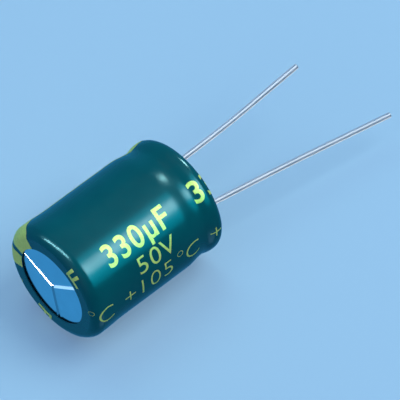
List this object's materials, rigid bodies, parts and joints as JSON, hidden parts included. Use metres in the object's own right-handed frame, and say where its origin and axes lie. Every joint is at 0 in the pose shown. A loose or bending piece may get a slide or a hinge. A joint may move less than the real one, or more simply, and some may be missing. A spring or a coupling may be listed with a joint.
{
  "type": "electrolytic capacitor",
  "caption": "Radial aluminium can capacitor with a dark teal shrink sleeve, a scored vent at one end, a crimp bead and rubber seal at the other, and long wire leads.",
  "frame": {"origin": "centre of the sleeve's rim at the vent end, on which the part stands", "axes": "+Z along the can's axis towards the leads, +X from the cathode lead to the anode lead where they leave the seal"},
  "size_m": [0.0133, 0.0132, 0.0417],
  "materials": {
    "sleeve": "glossy dark teal heat-shrink film",
    "print": "gold ink printed on the sleeve, added where the sleeve is dressed",
    "can": "bright drawn aluminium",
    "seal": "matt black moulded rubber",
    "lead": "tin plating on copper-clad steel wire",
    "tab": "etched aluminium",
    "winding": "paper and etched foil wound together and soaked in electrolyte",
    "tape": "plain polypropylene tape"
  },
  "bodies": {
    "root": {"sleeve": "sleeve", "can": "can", "end_seal": "seal", "anode_wire": "lead", "cathode_wire": "lead", "anode_tab": "tab", "cathode_tab": "tab", "winding": "winding", "winding_tape": "tape"}
  },
  "joints": []
}
